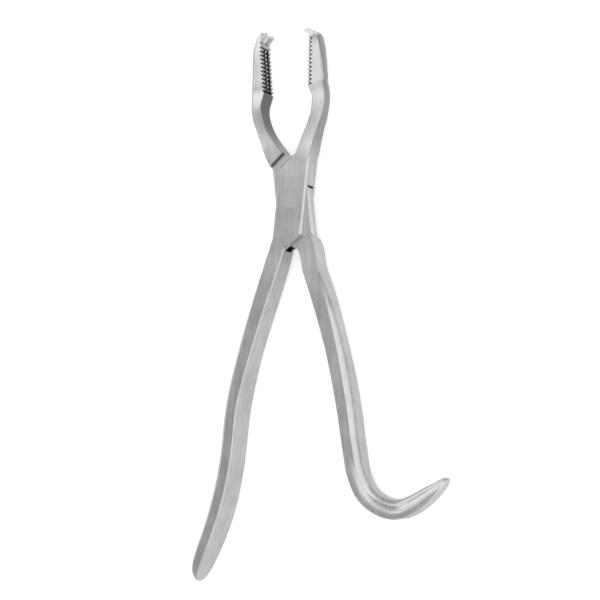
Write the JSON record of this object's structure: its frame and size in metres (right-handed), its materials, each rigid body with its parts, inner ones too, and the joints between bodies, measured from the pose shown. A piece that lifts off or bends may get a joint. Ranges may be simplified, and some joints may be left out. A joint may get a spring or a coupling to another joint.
{
  "type": "bone holding forceps",
  "caption": "Bone holding forceps with pronged, cross-cut lion jaws, a box joint on a flush pin, and long handles, one of them ending in an outward hook.",
  "frame": {"origin": "centre of the joint pin's ground end on the back face of the box", "axes": "+Z along the joint's axis, out of the box's front face; +Y from the handles to the jaws; +X towards the hooked handle"},
  "size_m": [0.1088, 0.2151, 0.0117],
  "materials": {
    "female_shank": "satin",
    "male_shank": "satin",
    "joint_pin": "satin, ground flush with the box"
  },
  "bodies": {
    "female": {"female_shank": "female_shank", "joint_pin": "joint_pin"},
    "male": {"male_shank": "male_shank"}
  },
  "joints": [
    {"name": "box_joint", "type": "hinge", "parent": "female", "child": "male", "pos_m": [0, 0, 0], "axis": [0, 0, 1], "range_deg": [-16, 24]}
  ]
}
